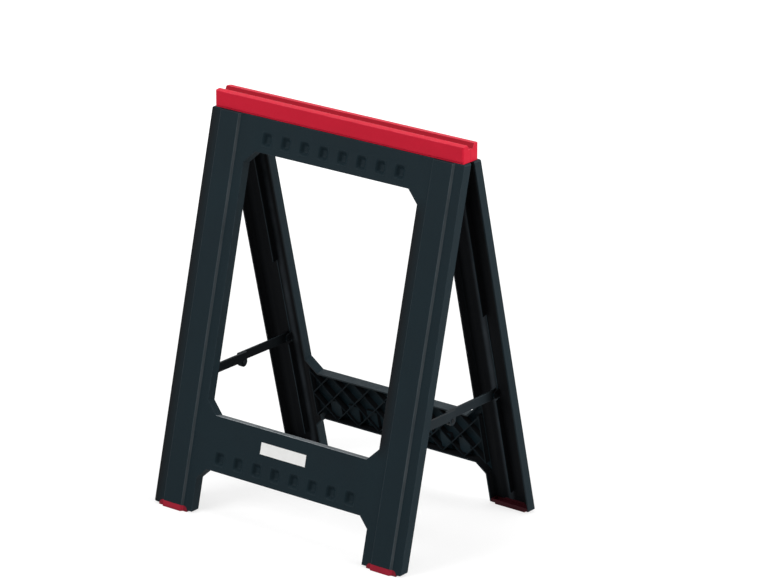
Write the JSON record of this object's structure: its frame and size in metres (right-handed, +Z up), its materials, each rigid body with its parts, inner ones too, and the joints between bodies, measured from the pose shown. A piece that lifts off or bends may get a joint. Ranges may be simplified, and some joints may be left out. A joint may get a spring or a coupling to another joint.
{
  "type": "folding builders trestle",
  "caption": "Folding moulded plastic trestle: two hinged leg frames with windows, a grooved red ridge rail, red feet and folding side braces.",
  "frame": {"origin": "on the floor, at the middle of the four feet", "axes": "+Z up, X along the ridge, the labelled front frame towards -Y and the rear frame towards +Y"},
  "size_m": [0.585, 0.4186, 0.766],
  "materials": {
    "frame_plastic": "slate-black polypropylene with a fine moulded grain",
    "red_plastic": "red polypropylene, satin",
    "foot_plastic": "red rubbery plastic, matt",
    "link_plastic": "black nylon, satin",
    "knuckle_plastic": "black nylon pin",
    "pin_steel": "zinc-plated steel",
    "label_film": "blank white film"
  },
  "bodies": {
    "front_half": {"front_frame": "frame_plastic", "front_cap_rail": "red_plastic", "front_left_foot": "foot_plastic", "front_right_foot": "foot_plastic", "left_front_pivot_pin": "knuckle_plastic", "right_front_pivot_pin": "knuckle_plastic", "left_hinge_pin": "pin_steel", "right_hinge_pin": "pin_steel", "left_hinge_washer": "pin_steel", "right_hinge_washer": "pin_steel", "label_plate": "label_film"},
    "rear_half": {"rear_frame": "frame_plastic", "rear_cap_rail": "red_plastic", "rear_left_foot": "foot_plastic", "rear_right_foot": "foot_plastic", "left_rear_pivot_pin": "knuckle_plastic", "right_rear_pivot_pin": "knuckle_plastic"},
    "left_front_brace": {"left_front_link": "link_plastic", "left_front_knuckle_pin": "knuckle_plastic"},
    "left_rear_brace": {"left_rear_link": "link_plastic", "left_rear_knuckle_pin": "knuckle_plastic"},
    "right_front_brace": {"right_front_link": "link_plastic", "right_front_knuckle_pin": "knuckle_plastic"},
    "right_rear_brace": {"right_rear_link": "link_plastic", "right_rear_knuckle_pin": "knuckle_plastic"}
  },
  "joints": [
    {"name": "frame_fold", "type": "hinge", "parent": "front_half", "child": "rear_half", "pos_m": [0, 0, 0.718], "axis": [-1, 0, 0], "range_deg": [0, 27.7]},
    {"name": "left_front_brace_fold", "type": "hinge", "parent": "front_half", "child": "left_front_brace", "pos_m": [-0.24725, -0.13516, 0.242], "axis": [1, 0, 0], "range_deg": [0, 73.1]},
    {"name": "left_rear_brace_fold", "type": "hinge", "parent": "rear_half", "child": "left_rear_brace", "pos_m": [-0.24725, 0.13516, 0.242], "axis": [-1, 0, 0], "range_deg": [0, 73.1]},
    {"name": "right_front_brace_fold", "type": "hinge", "parent": "front_half", "child": "right_front_brace", "pos_m": [0.24725, -0.13516, 0.242], "axis": [1, 0, 0], "range_deg": [0, 73.1]},
    {"name": "right_rear_brace_fold", "type": "hinge", "parent": "rear_half", "child": "right_rear_brace", "pos_m": [0.24725, 0.13516, 0.242], "axis": [-1, 0, 0], "range_deg": [0, 73.1]}
  ],
  "couplings": [
    {"joint": "left_front_brace_fold", "follows": "frame_fold", "ratio": 2.6372},
    {"joint": "left_rear_brace_fold", "follows": "frame_fold", "ratio": 2.6372},
    {"joint": "right_front_brace_fold", "follows": "frame_fold", "ratio": 2.6372},
    {"joint": "right_rear_brace_fold", "follows": "frame_fold", "ratio": 2.6372}
  ]
}
